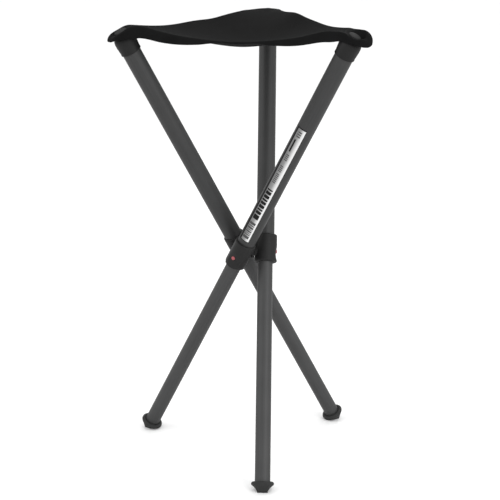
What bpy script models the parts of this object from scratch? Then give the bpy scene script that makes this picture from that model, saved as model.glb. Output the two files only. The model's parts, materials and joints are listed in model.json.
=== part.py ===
"""Telescopic tripod stool: three crossed legs turn on a small hub under a three-cornered cloth seat.

Each leg is modelled once, in a frame of its own, and placed three times round the stool's axis.
A leg's frame has its origin on the fold pivot, +Z up along the leg and +X straight out from the
stool's axis, along the pivot pin. Lengths are in metres and the floor is at Z = 0.
"""

import math

import bmesh
import bpy
from mathutils import Matrix, Vector

MM = 0.001
STOOL = "telescopic_tripod_stool"

# Clearances
GAP = 0.3 * MM  # between two pieces that touch
SLIDE_GAP = 0.15 * MM  # on each side of the glide plug's thin skirt

# Roundness of the meshes
SIDES = 24  # round a tube and all that fits on it
SMALL_SIDES = 16  # round a pin, a button or a stem
ARC_STEPS = 4  # along a rounded edge of a turned piece
SHARP_ANGLE = math.radians(35.0)  # edges bent more than this stay sharp
FLAT_ANGLE = math.radians(0.2)  # faces bent less than this become one

# How the legs stand
LEG_ANGLES = {"a": -120.0, "b": 0.0, "c": 120.0}  # degrees round the stool, of each pivot pin
LEG_TILT = math.radians(29.0)
PIVOT_HEIGHT = 283.4 * MM

# Hub and pivot pins
HUB_FACE_RADIUS = 8.3 * MM  # from the stool's axis to each of the hub's flat sides
HUB_CORNER_RADIUS = 14.0 * MM  # from the stool's axis to the hub's blunt corners
HUB_HEIGHT = 12.0 * MM
HUB_EDGE = 1.2 * MM
PIN_RADIUS = 2.5 * MM
PIN_ROOT = 2.8 * MM  # from the stool's axis to a pin's inner end
PIN_HEAD_RADIUS = 4.5 * MM
PIN_HEAD_DEPTH = 1.8 * MM

# Tubes
UPPER_TUBE_DIAMETER = 24.6 * MM
UPPER_TUBE_WALL = 1.0 * MM
UPPER_TUBE_LENGTH = 335.4 * MM
LOWER_TUBE_WALL = 1.2 * MM

# Glide plug on the lower tube's upper end
GLIDE_SKIRT_WALL = 0.7 * MM
GLIDE_SKIRT_LENGTH = 34.0 * MM
GLIDE_TOP = 3.0 * MM
GLIDE_EDGE = 1.0 * MM
GLIDE_SPIGOT_LENGTH = 14.0 * MM

# Sleeve
SLEEVE_WALL = 1.65 * MM  # round the upper tube
SLEEVE_ABOVE = 23.5 * MM  # the pivot
SLEEVE_BELOW = 15.0 * MM  # the pivot
SLEEVE_LAND = 1.5 * MM  # from the pin's head up to the shoulder that the upper tube stands on
SLEEVE_CHAMFER = 1.4 * MM
GRIP_RISE = 1.75 * MM  # how far the sleeve's outer side swells past its round body
GRIP_RADIUS = 12.0 * MM
SCOOP_FLOOR = 0.15 * MM  # height of the thumb scoop's floor over the round body
SCOOP_RADIUS = 22.0 * MM
SCOOP_DROP = 3.5 * MM  # the scoop's middle lies this far below the button
PAD_RADIUS = 10.0 * MM  # turning pad against the hub
PAD_RISE = 0.35 * MM

# Lock
NOSE_RADIUS = 2.2 * MM
NOSE_PROUD = 2.0 * MM  # past the lower tube's outside
SPRING_THICK = 0.8 * MM
SPRING_WIDTH = 6.0 * MM
SPRING_LENGTH = 38.0 * MM
SPRING_LAND = 1.5 * MM  # of the leaf, past the nose
BUTTON_RADIUS = 2.5 * MM
BUTTON_RIM = 0.7 * MM  # the hidden flange's step past the head
BUTTON_RIM_THICK = 0.6 * MM
BUTTON_PROUD = 1.6 * MM  # over the scoop's floor
BUTTON_EDGE = 0.5 * MM

# Cap on the upper tube's top, with the plug that clamps the cloth
CAP_SOCKET_DEPTH = 20.5 * MM
CAP_RIM_WALL = 0.9 * MM
CAP_HEAD_WALL = 1.7 * MM
CAP_HEAD_HEIGHT = 14.0 * MM
CAP_HEAD_ROUND = 10.0 * MM
CAP_TOP = 6.0 * MM  # material over the tube's end
CAP_LIP = 1.6 * MM  # straight band at the collar's lower rim
PLUG_RADIUS = 8.0 * MM
PLUG_THICK = 2.0 * MM
PLUG_STEM_RADIUS = 3.0 * MM

# Rubber foot
FOOT_RISE = 9.4 * MM  # height of the flange's middle over the floor
FOOT_FLANGE_RADIUS = 15.2 * MM
FOOT_FLANGE_THICK = 5.6 * MM
FOOT_SOCKET_DEPTH = 4.2 * MM  # the tube stands this deep in the flange
FOOT_SPIGOT = 8.0 * MM  # inside the tube, above the flange
FOOT_NECK = 1.0 * MM  # the hoof starts this far inside the flange's rim
SOLE_WIDTH = 15.0 * MM
SOLE_INNER = 12.0 * MM  # reach towards the stool's axis, from under the flange's middle
SOLE_OUTER = 8.5 * MM  # reach of the straight toe away from it
TOE_WIDTH = 13.5 * MM

# Height label, a long bare sticker on leg a
LABEL_FOOT = 29.0 * MM  # above the pivot
LABEL_LENGTH = 184.0 * MM
LABEL_WIDTH = 13.5 * MM
LABEL_THICK = 0.2 * MM

# Cloth seat
CLOTH_THICK = 1.9 * MM
EDGE_SAG = {"ab": 1.5 * MM, "bc": 8.0 * MM, "ca": 16.0 * MM}  # drop of each edge's middle
BELLY_SAG = 18.5 * MM  # further drop at the seat's middle
RIDGE_INSET = 10.6 * MM  # from a leg's axis in to the ridge over its cap
RIDGE_ROUND = 3.0 * MM
EDGE_MIDDLE = 90.0 * MM  # from the stool's axis to the middle of an edge
POCKET_REACH = {"a": 27.5 * MM, "b": 24.0 * MM, "c": 21.0 * MM}  # from a leg's axis out to the nose
POCKET_PUFF = {"a": 10.0 * MM, "b": 6.0 * MM, "c": 5.0 * MM}  # rise of the nose over the plug's plane
POCKET_TUCK = {"a": 105.0, "b": 95.0, "c": 75.0}  # degrees that the cloth turns under at the nose
PUFF_RUN = 6.0 * MM  # the rise takes this length
PLUG_MARGIN = 1.0 * MM  # flat cloth left round a plug
POCKET_HALF_WIDTH = 20.5 * MM
POCKET_ROUND = 9.0 * MM
POCKET_LEAN = 0.4  # share of the leg's tilt that the pocket's rim takes
HEM_ROUND = 3.0 * MM  # at the middle of an edge
HEM_TURN = math.radians(80.0)
HEM_DROP = 1.5 * MM
SEAT_ROWS = (3, 6, 4)  # rows of faces: middle, arm, nose
SEAT_COLUMNS = 6
SEAT_TURN_STEPS = 3
SLOPE_STEP = 0.05 * MM  # over which an edge's direction is measured
WELD = 0.01 * MM  # points nearer than this become one

# Sizes that follow from those above
UPPER_RADIUS = UPPER_TUBE_DIAMETER / 2
UPPER_BORE = UPPER_RADIUS - UPPER_TUBE_WALL
LOWER_RADIUS = UPPER_BORE - GLIDE_SKIRT_WALL - 2 * SLIDE_GAP
LOWER_BORE = LOWER_RADIUS - LOWER_TUBE_WALL
UPPER_SOCKET = UPPER_RADIUS + GAP
LOWER_SOCKET = LOWER_RADIUS + GAP
SLEEVE_RADIUS = UPPER_SOCKET + SLEEVE_WALL
PIVOT_RADIUS = HUB_FACE_RADIUS + GAP + PAD_RISE + SLEEVE_RADIUS
SLEEVE_SHOULDER = PIN_HEAD_RADIUS + SLEEVE_LAND
UPPER_FOOT = SLEEVE_SHOULDER + GAP
UPPER_TOP = UPPER_FOOT + UPPER_TUBE_LENGTH
GLIDE_FOOT = SLEEVE_SHOULDER + GAP
LOWER_TOP = GLIDE_FOOT + GLIDE_SKIRT_LENGTH - GAP
CAP_BORE_TOP = UPPER_TOP + GAP
CAP_CROWN = CAP_BORE_TOP + CAP_TOP
CAP_FOOT = CAP_BORE_TOP - CAP_SOCKET_DEPTH
CLOTH_TOP = CAP_CROWN + GAP + CLOTH_THICK
PLUG_SEAT = CLOTH_TOP + GAP
FLANGE_MIDDLE = -(PIVOT_HEIGHT - FOOT_RISE) / math.cos(LEG_TILT)
FLANGE_TOP = FLANGE_MIDDLE + FOOT_FLANGE_THICK / 2
FOOT_SOCKET_FLOOR = FLANGE_TOP - FOOT_SOCKET_DEPTH
NOSE_TIP = LOWER_RADIUS + NOSE_PROUD
BUTTON_FOOT = NOSE_TIP + GAP
BUTTON_SHOULDER = BUTTON_FOOT + BUTTON_RIM_THICK + GAP
SCOOP_FACE = SLEEVE_RADIUS + SCOOP_FLOOR
BUTTON_FACE = SCOOP_FACE + BUTTON_PROUD
PIN_HEAD_FACE = LOWER_SOCKET + GAP
OVERCUT = 5.0 * MM  # how far a cutter runs past what it cuts
HALF_CORNER = math.pi / len(LEG_ANGLES)  # half the angle between two corners of the seat

X_TO_Z = Matrix.Rotation(math.pi / 2, 4, "Y")  # turns a piece made along +Z to lie along +X


def clear_scene():
    for old in list(bpy.data.objects):
        bpy.data.objects.remove(old, do_unlink=True)


def collection(name):
    made = bpy.data.collections.new(name)
    bpy.context.scene.collection.children.link(made)
    return made


def material(name, colour, roughness, metallic=0.0):
    made = bpy.data.materials.new(name)
    made.use_nodes = True
    shader = made.node_tree.nodes["Principled BSDF"]
    shader.inputs["Base Color"].default_value = (*colour, 1.0)
    shader.inputs["Roughness"].default_value = roughness
    shader.inputs["Metallic"].default_value = metallic
    made.diffuse_color = (*colour, 1.0)
    return made


def evaluated_mesh(obj):
    """The object's mesh with its modifiers applied, welded and facing out. The object goes."""
    bpy.context.view_layer.update()
    graph = bpy.context.evaluated_depsgraph_get()
    mesh = bpy.data.meshes.new_from_object(obj.evaluated_get(graph))
    bpy.data.objects.remove(obj, do_unlink=True)
    bm = bmesh.new()
    bm.from_mesh(mesh)
    bmesh.ops.remove_doubles(bm, verts=bm.verts, dist=WELD / 10)
    bmesh.ops.recalc_face_normals(bm, faces=bm.faces)
    bm.to_mesh(mesh)
    bm.free()
    return mesh


def scratch_object(mesh):
    obj = bpy.data.objects.new("scratch", mesh)
    bpy.context.scene.collection.objects.link(obj)
    return obj


def turned(profile, sides, closed):
    """A solid turned round Z from (radius, height) points that run down its outer side."""
    mesh = bpy.data.meshes.new("profile")
    edges = [(i, i + 1) for i in range(len(profile) - 1)]
    if closed:
        edges.append((len(profile) - 1, 0))
    mesh.from_pydata([(radius, 0.0, height) for radius, height in profile], edges, [])
    obj = scratch_object(mesh)
    screw = obj.modifiers.new("turn", "SCREW")
    screw.axis = "Z"
    screw.steps = sides
    screw.render_steps = sides
    screw.use_merge_vertices = True
    screw.merge_threshold = WELD
    return evaluated_mesh(obj)


def arc(middle, radius, start, end, steps):
    """Points on a circle in a profile, from one angle to another, in degrees from outwards to up."""
    points = []
    for step in range(steps + 1):
        angle = math.radians(start + (end - start) * step / steps)
        points.append((middle[0] + radius * math.cos(angle), middle[1] + radius * math.sin(angle)))
    return points


def convex(points):
    """The smallest convex solid that holds all the points."""
    bm = bmesh.new()
    for point in points:
        bm.verts.new(point)
    hull = bmesh.ops.convex_hull(bm, input=bm.verts)
    spare = {v for v in hull["geom_interior"] + hull["geom_unused"] if isinstance(v, bmesh.types.BMVert)}
    bmesh.ops.delete(bm, geom=list(spare), context="VERTS")
    bmesh.ops.dissolve_limit(bm, angle_limit=FLAT_ANGLE, verts=bm.verts, edges=bm.edges)
    mesh = bpy.data.meshes.new("convex")
    bm.to_mesh(mesh)
    bm.free()
    return evaluated_mesh(scratch_object(mesh))


def combined(mesh, others, operation):
    """The mesh after cutting it with the others, or joining them to it."""
    obj = scratch_object(mesh)
    helpers = [scratch_object(other) for other in others]
    for helper in helpers:
        step = obj.modifiers.new(operation, "BOOLEAN")
        step.operation = operation
        step.object = helper
    result = evaluated_mesh(obj)
    for helper in helpers:
        bpy.data.objects.remove(helper, do_unlink=True)
    return result


def moved(mesh, matrix):
    mesh.transform(matrix)
    return mesh


def ring(inner, outer, foot, top, sides=SIDES):
    return turned([(inner, top), (outer, top), (outer, foot), (inner, foot)], sides, closed=True)


def rod(radius, foot, top, sides):
    return turned([(0.0, top), (radius, top), (radius, foot), (0.0, foot)], sides, closed=False)


def blended(start, end, share):
    """A smooth step from start to end as share goes from 0 to 1."""
    share = min(max(share, 0.0), 1.0)
    return start + (end - start) * share * share * (3.0 - 2.0 * share)


# Leg geometry


def leg_axes(leg):
    """A leg's pivot, its outward direction, the way it leans and its own direction upwards."""
    turn = math.radians(LEG_ANGLES[leg])
    outward = Vector((math.cos(turn), math.sin(turn), 0.0))
    lean = Vector((-math.sin(turn), math.cos(turn), 0.0))
    upward = math.sin(LEG_TILT) * lean + Vector((0.0, 0.0, math.cos(LEG_TILT)))
    pivot = PIVOT_RADIUS * outward + Vector((0.0, 0.0, PIVOT_HEIGHT))
    return pivot, outward, lean, upward


def leg_matrix(leg):
    pivot, outward, _, upward = leg_axes(leg)
    across = upward.cross(outward)
    matrix = Matrix((outward, across, upward)).transposed().to_4x4()
    matrix.translation = pivot
    return matrix


# Pieces of a leg, in the leg's frame


def upper_tube():
    return ring(UPPER_BORE, UPPER_RADIUS, UPPER_FOOT, UPPER_TOP)


def lower_tube():
    tube = ring(LOWER_BORE, LOWER_RADIUS, FOOT_SOCKET_FLOOR + GAP, LOWER_TOP)
    hole = rod(NOSE_RADIUS + GAP, 0.0, LOWER_RADIUS + OVERCUT, SMALL_SIDES)
    return combined(tube, [moved(hole, X_TO_Z)], "DIFFERENCE")


def glide_plug():
    """A cap with a thin skirt outside the lower tube's end and a spigot inside it."""
    outside = UPPER_BORE - SLIDE_GAP
    skirt_inside = LOWER_RADIUS + SLIDE_GAP
    spigot = LOWER_BORE - SLIDE_GAP
    top = GLIDE_FOOT + GLIDE_SKIRT_LENGTH + GLIDE_TOP
    root = GLIDE_FOOT + GLIDE_SKIRT_LENGTH
    spigot_foot = LOWER_TOP - GLIDE_SPIGOT_LENGTH
    profile = [(0.0, top), (outside - GLIDE_EDGE, top), (outside, top - GLIDE_EDGE)]
    profile += [(outside, GLIDE_FOOT), (skirt_inside, GLIDE_FOOT), (skirt_inside, root)]
    profile += [(spigot, root), (spigot, spigot_foot), (0.0, spigot_foot)]
    return turned(profile, SIDES, closed=False)


def egg_ring(inset, height):
    """One level of the sleeve's outside: its round body and the swelling on its outer side."""
    swelling = SLEEVE_RADIUS + GRIP_RISE - GRIP_RADIUS
    points = []
    for step in range(SIDES):
        angle = 2 * math.pi * step / SIDES
        for middle, radius in ((0.0, SLEEVE_RADIUS - inset), (swelling, GRIP_RADIUS - inset)):
            points.append((middle + radius * math.cos(angle), radius * math.sin(angle), height))
    return points


def sleeve():
    body = convex(
        egg_ring(SLEEVE_CHAMFER, SLEEVE_ABOVE)
        + egg_ring(0.0, SLEEVE_ABOVE - SLEEVE_CHAMFER)
        + egg_ring(0.0, SLEEVE_CHAMFER - SLEEVE_BELOW)
        + egg_ring(SLEEVE_CHAMFER, -SLEEVE_BELOW)
    )
    pad = moved(rod(PAD_RADIUS, LOWER_SOCKET, SLEEVE_RADIUS + PAD_RISE, SIDES), X_TO_Z.inverted())
    body = combined(body, [pad], "UNION")
    bore = turned(
        [
            (0.0, SLEEVE_ABOVE + OVERCUT),
            (UPPER_SOCKET, SLEEVE_ABOVE + OVERCUT),
            (UPPER_SOCKET, SLEEVE_SHOULDER),
            (LOWER_SOCKET, SLEEVE_SHOULDER),
            (LOWER_SOCKET, -SLEEVE_BELOW - OVERCUT),
            (0.0, -SLEEVE_BELOW - OVERCUT),
        ],
        SIDES,
        closed=False,
    )
    button_hole = turned(
        [
            (0.0, BUTTON_FACE + OVERCUT),
            (BUTTON_RADIUS + GAP, BUTTON_FACE + OVERCUT),
            (BUTTON_RADIUS + GAP, BUTTON_SHOULDER),
            (BUTTON_RADIUS + BUTTON_RIM + GAP, BUTTON_SHOULDER),
            (BUTTON_RADIUS + BUTTON_RIM + GAP, 0.0),
            (0.0, 0.0),
        ],
        SMALL_SIDES,
        closed=False,
    )
    scoop = rod(SCOOP_RADIUS, -2 * SLEEVE_RADIUS, 2 * SLEEVE_RADIUS, 2 * SIDES)
    scoop.transform(Matrix.Rotation(math.pi / 2, 4, "X"))
    scoop.transform(Matrix.Translation((SCOOP_FACE + SCOOP_RADIUS, 0.0, -SCOOP_DROP)))
    pin_hole = moved(pin_shape(GAP, OVERCUT), X_TO_Z.inverted())
    cutters = [bore, scoop, moved(button_hole, X_TO_Z), pin_hole]
    return combined(body, cutters, "DIFFERENCE")


def pin_shape(gap, overrun):
    """A countersunk pin along +Z with its head down, widened by a gap and lengthened by an overrun."""
    root = PIVOT_RADIUS - PIN_ROOT + overrun
    cone = PIN_HEAD_FACE + PIN_HEAD_DEPTH + gap / 2
    head = PIN_HEAD_FACE + gap / 2
    profile = [(0.0, root), (PIN_RADIUS + gap, root), (PIN_RADIUS + gap, cone)]
    profile += [(PIN_HEAD_RADIUS + gap, head)]
    if overrun > 0.0:
        profile += [(PIN_HEAD_RADIUS + gap, head - overrun)]
    profile += [(0.0, head - overrun)]
    return turned(profile, SMALL_SIDES, closed=False)


def pivot_pin():
    return moved(pin_shape(0.0, 0.0), X_TO_Z.inverted())


def lock_button():
    head = [(0.0, BUTTON_FACE), (BUTTON_RADIUS - BUTTON_EDGE, BUTTON_FACE)]
    head += [(BUTTON_RADIUS, BUTTON_FACE - BUTTON_EDGE), (BUTTON_RADIUS, BUTTON_SHOULDER - GAP)]
    rim = BUTTON_RADIUS + BUTTON_RIM
    profile = head + [(rim, BUTTON_SHOULDER - GAP), (rim, BUTTON_FOOT), (0.0, BUTTON_FOOT)]
    return moved(turned(profile, SMALL_SIDES, closed=False), X_TO_Z)


def snap_spring():
    """A leaf spring bent to a U inside the lower tube, with a nose that locks in the sleeve."""
    outer = math.sqrt((LOWER_BORE - GAP) ** 2 - (SPRING_WIDTH / 2) ** 2)
    inner = outer - SPRING_THICK
    bend = outer - SPRING_LENGTH
    end = NOSE_RADIUS + SPRING_LAND
    outside = [(outer, end)] + arc((0.0, bend), outer, 0, -180, 2 * ARC_STEPS)
    inside = arc((0.0, bend), inner, -180, 0, 2 * ARC_STEPS) + [(inner, end)]
    outline = outside + [(-outer, -outer), (-inner, -outer)] + inside
    curve = bpy.data.curves.new("leaf", "CURVE")
    curve.dimensions = "2D"
    curve.fill_mode = "BOTH"
    curve.extrude = SPRING_WIDTH / 2
    spline = curve.splines.new("POLY")
    spline.points.add(len(outline) - 1)
    spline.use_cyclic_u = True
    for point, place in zip(spline.points, outline):
        point.co = (*place, 0.0, 1.0)
    leaf = evaluated_mesh(scratch_object(curve))
    leaf.transform(Matrix.Rotation(math.pi / 2, 4, "X"))
    root = inner + SPRING_THICK / 4
    tip = arc((0.0, NOSE_TIP - NOSE_RADIUS), NOSE_RADIUS, 90, 0, ARC_STEPS)
    nose = turned(tip + [(NOSE_RADIUS, root), (0.0, root)], SMALL_SIDES, closed=False)
    return combined(leaf, [moved(nose, X_TO_Z)], "UNION")


def seat_cap():
    """A tapered collar over the tube's end, with a round head for the cloth."""
    stem = PLUG_STEM_RADIUS + GAP
    head = UPPER_SOCKET + CAP_HEAD_WALL
    rim = UPPER_SOCKET + CAP_RIM_WALL
    corner = (head - CAP_HEAD_ROUND, CAP_CROWN - CAP_HEAD_ROUND)
    profile = [(stem, CAP_CROWN)] + arc(corner, CAP_HEAD_ROUND, 90, 0, ARC_STEPS)
    profile += [(head, CAP_CROWN - CAP_HEAD_HEIGHT), (rim, CAP_FOOT + CAP_LIP)]
    profile += [(rim, CAP_FOOT), (UPPER_SOCKET, CAP_FOOT)]
    profile += [(UPPER_SOCKET, CAP_BORE_TOP), (stem, CAP_BORE_TOP)]
    return turned(profile, SIDES, closed=True)


def cap_plug():
    """A flat disc on the cloth, with a stem through the cloth into the cap."""
    top = PLUG_SEAT + PLUG_THICK
    edge = PLUG_THICK / 2
    stem_foot = CAP_BORE_TOP + GAP
    profile = [(0.0, top), (PLUG_RADIUS - edge, top), (PLUG_RADIUS, top - edge), (PLUG_RADIUS, PLUG_SEAT)]
    profile += [(PLUG_STEM_RADIUS, PLUG_SEAT), (PLUG_STEM_RADIUS, stem_foot), (0.0, stem_foot)]
    return turned(profile, SIDES, closed=False)


def floor_point(across, along):
    """A point on the floor, in a leg's frame: across the lean, and along it from under the flange."""
    tilt_sin = math.sin(LEG_TILT)
    tilt_cos = math.cos(LEG_TILT)
    lean = along + FLANGE_MIDDLE * tilt_sin
    drop = -PIVOT_HEIGHT
    return (across, lean * tilt_cos - drop * tilt_sin, lean * tilt_sin + drop * tilt_cos)


def foot():
    """A round rubber flange with a ring groove for the tube, over a hoof whose sole is on the floor."""
    rim = FOOT_FLANGE_THICK / 2
    bend = FOOT_FLANGE_RADIUS - rim
    flange_foot = FLANGE_MIDDLE - rim
    spigot = LOWER_BORE - GAP
    spigot_top = FLANGE_TOP + FOOT_SPIGOT
    profile = [(0.0, spigot_top), (spigot, spigot_top), (spigot, FOOT_SOCKET_FLOOR)]
    profile += [(LOWER_SOCKET, FOOT_SOCKET_FLOOR), (LOWER_SOCKET, FLANGE_TOP)]
    profile += arc((bend, FLANGE_MIDDLE), rim, 90, -90, 2 * ARC_STEPS) + [(0.0, flange_foot)]
    flange = turned(profile, SIDES, closed=False)
    neck = FOOT_FLANGE_RADIUS - FOOT_NECK
    neck_height = (flange_foot + FOOT_SOCKET_FLOOR) / 2
    hoof_points = [floor_point(-TOE_WIDTH / 2, -SOLE_OUTER), floor_point(TOE_WIDTH / 2, -SOLE_OUTER)]
    for step in range(SIDES):
        angle = 2 * math.pi * (step + 0.5) / SIDES
        hoof_points.append((neck * math.cos(angle), neck * math.sin(angle), neck_height))
        if math.sin(angle) > 0:
            hoof_points.append(floor_point(SOLE_WIDTH / 2 * math.cos(angle), SOLE_INNER * math.sin(angle)))
    return combined(flange, [convex(hoof_points)], "UNION")


def height_label():
    """A strip bent round the outer side of the upper tube."""
    radius = UPPER_RADIUS + GAP
    half_angle = LABEL_WIDTH / 2 / radius
    bm = bmesh.new()
    bmesh.ops.create_grid(bm, x_segments=ARC_STEPS, y_segments=1, size=1.0)
    for vert in bm.verts:
        angle = half_angle * vert.co.x
        height = LABEL_FOOT + LABEL_LENGTH * (vert.co.y + 1.0) / 2
        vert.co = (radius * math.cos(angle), radius * math.sin(angle), height)
    bmesh.ops.recalc_face_normals(bm, faces=bm.faces)
    mesh = bpy.data.meshes.new("label")
    bm.to_mesh(mesh)
    bm.free()
    obj = scratch_object(mesh)
    shell = obj.modifiers.new("thickness", "SOLIDIFY")
    shell.thickness = LABEL_THICK
    outwards = mesh.polygons[0].normal.x > 0
    shell.offset = 1.0 if outwards else -1.0
    return evaluated_mesh(obj)


# Hub and seat, in the stool's frame


def hub_core():
    """A three-sided block with blunt corners, drilled for the pins."""
    half = HUB_HEIGHT / 2
    side = math.sqrt(HUB_CORNER_RADIUS**2 - HUB_FACE_RADIUS**2)
    points = []
    for inset, height in ((HUB_EDGE, half), (0.0, half - HUB_EDGE), (0.0, HUB_EDGE - half), (HUB_EDGE, -half)):
        for leg in LEG_ANGLES:
            _, outward, lean, _ = leg_axes(leg)
            for hand in (-1.0, 1.0):
                flat = (HUB_FACE_RADIUS - inset) * outward + hand * (side - inset) * lean
                points.append((flat.x, flat.y, PIVOT_HEIGHT + height))
    block = convex(points)
    holes = []
    for leg in LEG_ANGLES:
        _, outward, _, _ = leg_axes(leg)
        hole = rod(PIN_RADIUS + GAP, PIN_ROOT - GAP, HUB_FACE_RADIUS + OVERCUT, SMALL_SIDES)
        hole.transform(X_TO_Z)
        turn = Matrix.Rotation(math.radians(LEG_ANGLES[leg]), 4, "Z")
        holes.append(moved(hole, Matrix.Translation((0.0, 0.0, PIVOT_HEIGHT)) @ turn))
    return combined(block, holes, "DIFFERENCE")


class SeatCorner:
    """One corner of the seat: where its leg's axis meets the cloth, and the arm that leads there."""

    def __init__(self, leg):
        pivot, _, lean, upward = leg_axes(leg)
        self.leg = leg
        self.lean = lean
        self.upward = upward
        self.pivot = pivot
        top = pivot + CLOTH_TOP * upward
        self.top_height = top.z
        self.axis_reach = math.hypot(top.x, top.y)
        self.along = Vector((top.x, top.y, 0.0)) / self.axis_reach
        self.across = Vector((-self.along.y, self.along.x, 0.0))
        self.ridge = self.axis_reach - RIDGE_INSET
        self.middle = (EDGE_MIDDLE - HEM_ROUND) * math.cos(HALF_CORNER)
        self.nose = POCKET_REACH[leg] - POCKET_ROUND

    def cap_plane(self, flat):
        """Height of the plane square to the leg that the cloth lies in over the cap."""
        return self.top_height - (flat - self.axis_foot()).dot(self.lean) * math.tan(LEG_TILT)

    def axis_foot(self):
        return self.axis_reach * self.along

    def half_width(self, reach):
        """Half the width of the cloth's top face, at a distance from the stool's axis."""
        pocket = POCKET_HALF_WIDTH - POCKET_ROUND
        if reach <= self.middle:
            return reach * math.tan(HALF_CORNER)
        if reach >= self.axis_reach:
            past = min((reach - self.axis_reach) / self.nose, 1.0)
            return pocket * math.sqrt(max(1.0 - past * past, 0.0))
        run = self.axis_reach - self.middle
        share = (reach - self.middle) / run
        start = self.middle * math.tan(HALF_CORNER)
        slope = -1.0 / math.tan(HALF_CORNER)
        kept = (1 + 2 * share) * (1 - share) ** 2
        leaned = share * (1 - share) ** 2
        return kept * start + leaned * run * slope + (1 - kept) * pocket

    def rows(self):
        """Distances from the stool's axis of the cloth's rows of points."""
        inner, arm, nose = SEAT_ROWS
        reaches = [self.middle * step / inner for step in range(inner + 1)]
        reaches += [self.middle + (self.ridge - self.middle) * step / arm for step in range(1, arm + 1)]
        reaches += [self.axis_reach]
        plug_edge = math.asin((PLUG_RADIUS + PLUG_MARGIN) / self.nose)
        for step in range(nose):
            angle = plug_edge + (math.pi / 2 - plug_edge) * step / (nose - 1)
            reaches.append(self.axis_reach + self.nose * math.sin(angle))
        return reaches


def sag_height(corners, flat):
    """Height of the sagging cloth between the ridges over the three caps."""
    peak = sum(corner.cap_plane(corner.ridge * corner.along) for corner in corners) / 3
    shares = {}
    for corner in corners:
        shares[corner.leg] = 1 / 3 + 2 / 3 * flat.dot(corner.along) / corner.ridge
    drop = 27 * BELLY_SAG * shares["a"] * shares["b"] * shares["c"]
    for (first, second), sag in EDGE_SAG.items():
        drop += 4 * sag * shares[first] * shares[second]
    return peak - drop


def cloth_height(corners, corner, flat):
    """Height of the cloth's top face: the lower of the sag and the plane over the cap, rounded."""
    sag = sag_height(corners, flat)
    plane = corner.cap_plane(flat)
    near = max(RIDGE_ROUND - abs(sag - plane), 0.0) / RIDGE_ROUND
    from_axis = flat - corner.axis_foot()
    past_plug = from_axis.dot(corner.along) - PLUG_RADIUS - PLUG_MARGIN
    puff = blended(0.0, POCKET_PUFF[corner.leg], past_plug / PUFF_RUN)
    return min(sag, plane) - near * near * RIDGE_ROUND / 4 + puff


def edge_turn(corner, reach):
    """How the cloth turns down at its edge: radius, angle, straight drop and lean of the turn."""
    arm = (reach - corner.middle) / (corner.ridge - corner.middle)
    nose = (reach - corner.ridge) / (corner.axis_reach + corner.nose - corner.ridge)
    radius = blended(HEM_ROUND, POCKET_ROUND, arm)
    tuck = math.radians(POCKET_TUCK[corner.leg])
    angle = blended(blended(HEM_TURN, math.pi / 2, arm), tuck, nose)
    return radius, angle, blended(HEM_DROP, 0.0, arm), blended(0.0, POCKET_LEAN, arm)


def edge_points(corners, corner, reach, hand):
    """The points where the cloth turns down at one end of a row, from its top face to its hem."""
    if reach >= corner.axis_reach + corner.nose - WELD:
        outward = corner.along.copy()
    else:
        slope = (corner.half_width(reach + SLOPE_STEP) - corner.half_width(reach)) / SLOPE_STEP
        outward = (corner.across * hand - slope * corner.along).normalized()
    flat = corner.along * reach + corner.across * hand * corner.half_width(reach)
    start = flat + Vector((0.0, 0.0, cloth_height(corners, corner, flat)))
    radius, angle, drop, lean = edge_turn(corner, reach)
    up = Vector((0.0, 0.0, 1.0)).lerp(corner.upward, lean).normalized()
    out = (outward - outward.dot(up) * up).normalized()
    points = []
    for turn in range(1, SEAT_TURN_STEPS + 1):
        bend = angle * turn / SEAT_TURN_STEPS
        points.append(start + radius * (math.sin(bend) * out + (math.cos(bend) - 1.0) * up))
    points[-1] += drop * (math.cos(angle) * out - math.sin(angle) * up)
    return points


def seat_fabric():
    """The cloth: a sagging sheet with a pocket over each cap and edges that turn down."""
    corners = [SeatCorner(leg) for leg in LEG_ANGLES]
    bm = bmesh.new()
    for corner in corners:
        rows = []
        for reach in corner.rows():
            line = []
            for column in range(SEAT_COLUMNS + 1):
                side = 2.0 * column / SEAT_COLUMNS - 1.0
                flat = corner.along * reach + corner.across * side * corner.half_width(reach)
                line.append(bm.verts.new(flat + Vector((0.0, 0.0, cloth_height(corners, corner, flat)))))
            if reach >= corner.middle - WELD:
                left, right = (
                    [bm.verts.new(point) for point in edge_points(corners, corner, reach, hand)]
                    for hand in (-1.0, 1.0)
                )
                line = left[::-1] + line + right
            rows.append(line)
        for near, far in zip(rows, rows[1:]):
            skip = (len(far) - len(near)) // 2
            far = far[skip : len(far) - skip]
            for i in range(len(near) - 1):
                bm.faces.new((near[i], far[i], far[i + 1], near[i + 1]))
    bmesh.ops.remove_doubles(bm, verts=bm.verts, dist=WELD)
    bmesh.ops.recalc_face_normals(bm, faces=bm.faces)
    mesh = bpy.data.meshes.new("cloth")
    bm.to_mesh(mesh)
    bm.free()
    obj = scratch_object(mesh)
    shell = obj.modifiers.new("thickness", "SOLIDIFY")
    shell.thickness = CLOTH_THICK
    faces_up = max(mesh.polygons, key=lambda face: face.area).normal.z > 0
    shell.offset = -1.0 if faces_up else 1.0
    cloth = evaluated_mesh(obj)
    holes = []
    for corner in corners:
        hole = rod(PLUG_STEM_RADIUS + GAP, CAP_CROWN - GAP, PLUG_SEAT + PLUG_THICK, SMALL_SIDES)
        holes.append(moved(hole, leg_matrix(corner.leg)))
    return combined(cloth, holes, "DIFFERENCE")


# Assembly


def empty(name, parts, parent=None, matrix=None):
    made = bpy.data.objects.new(name, None)
    parts.objects.link(made)
    made.parent = parent
    if matrix is not None:
        made.matrix_local = matrix
    return made


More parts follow.
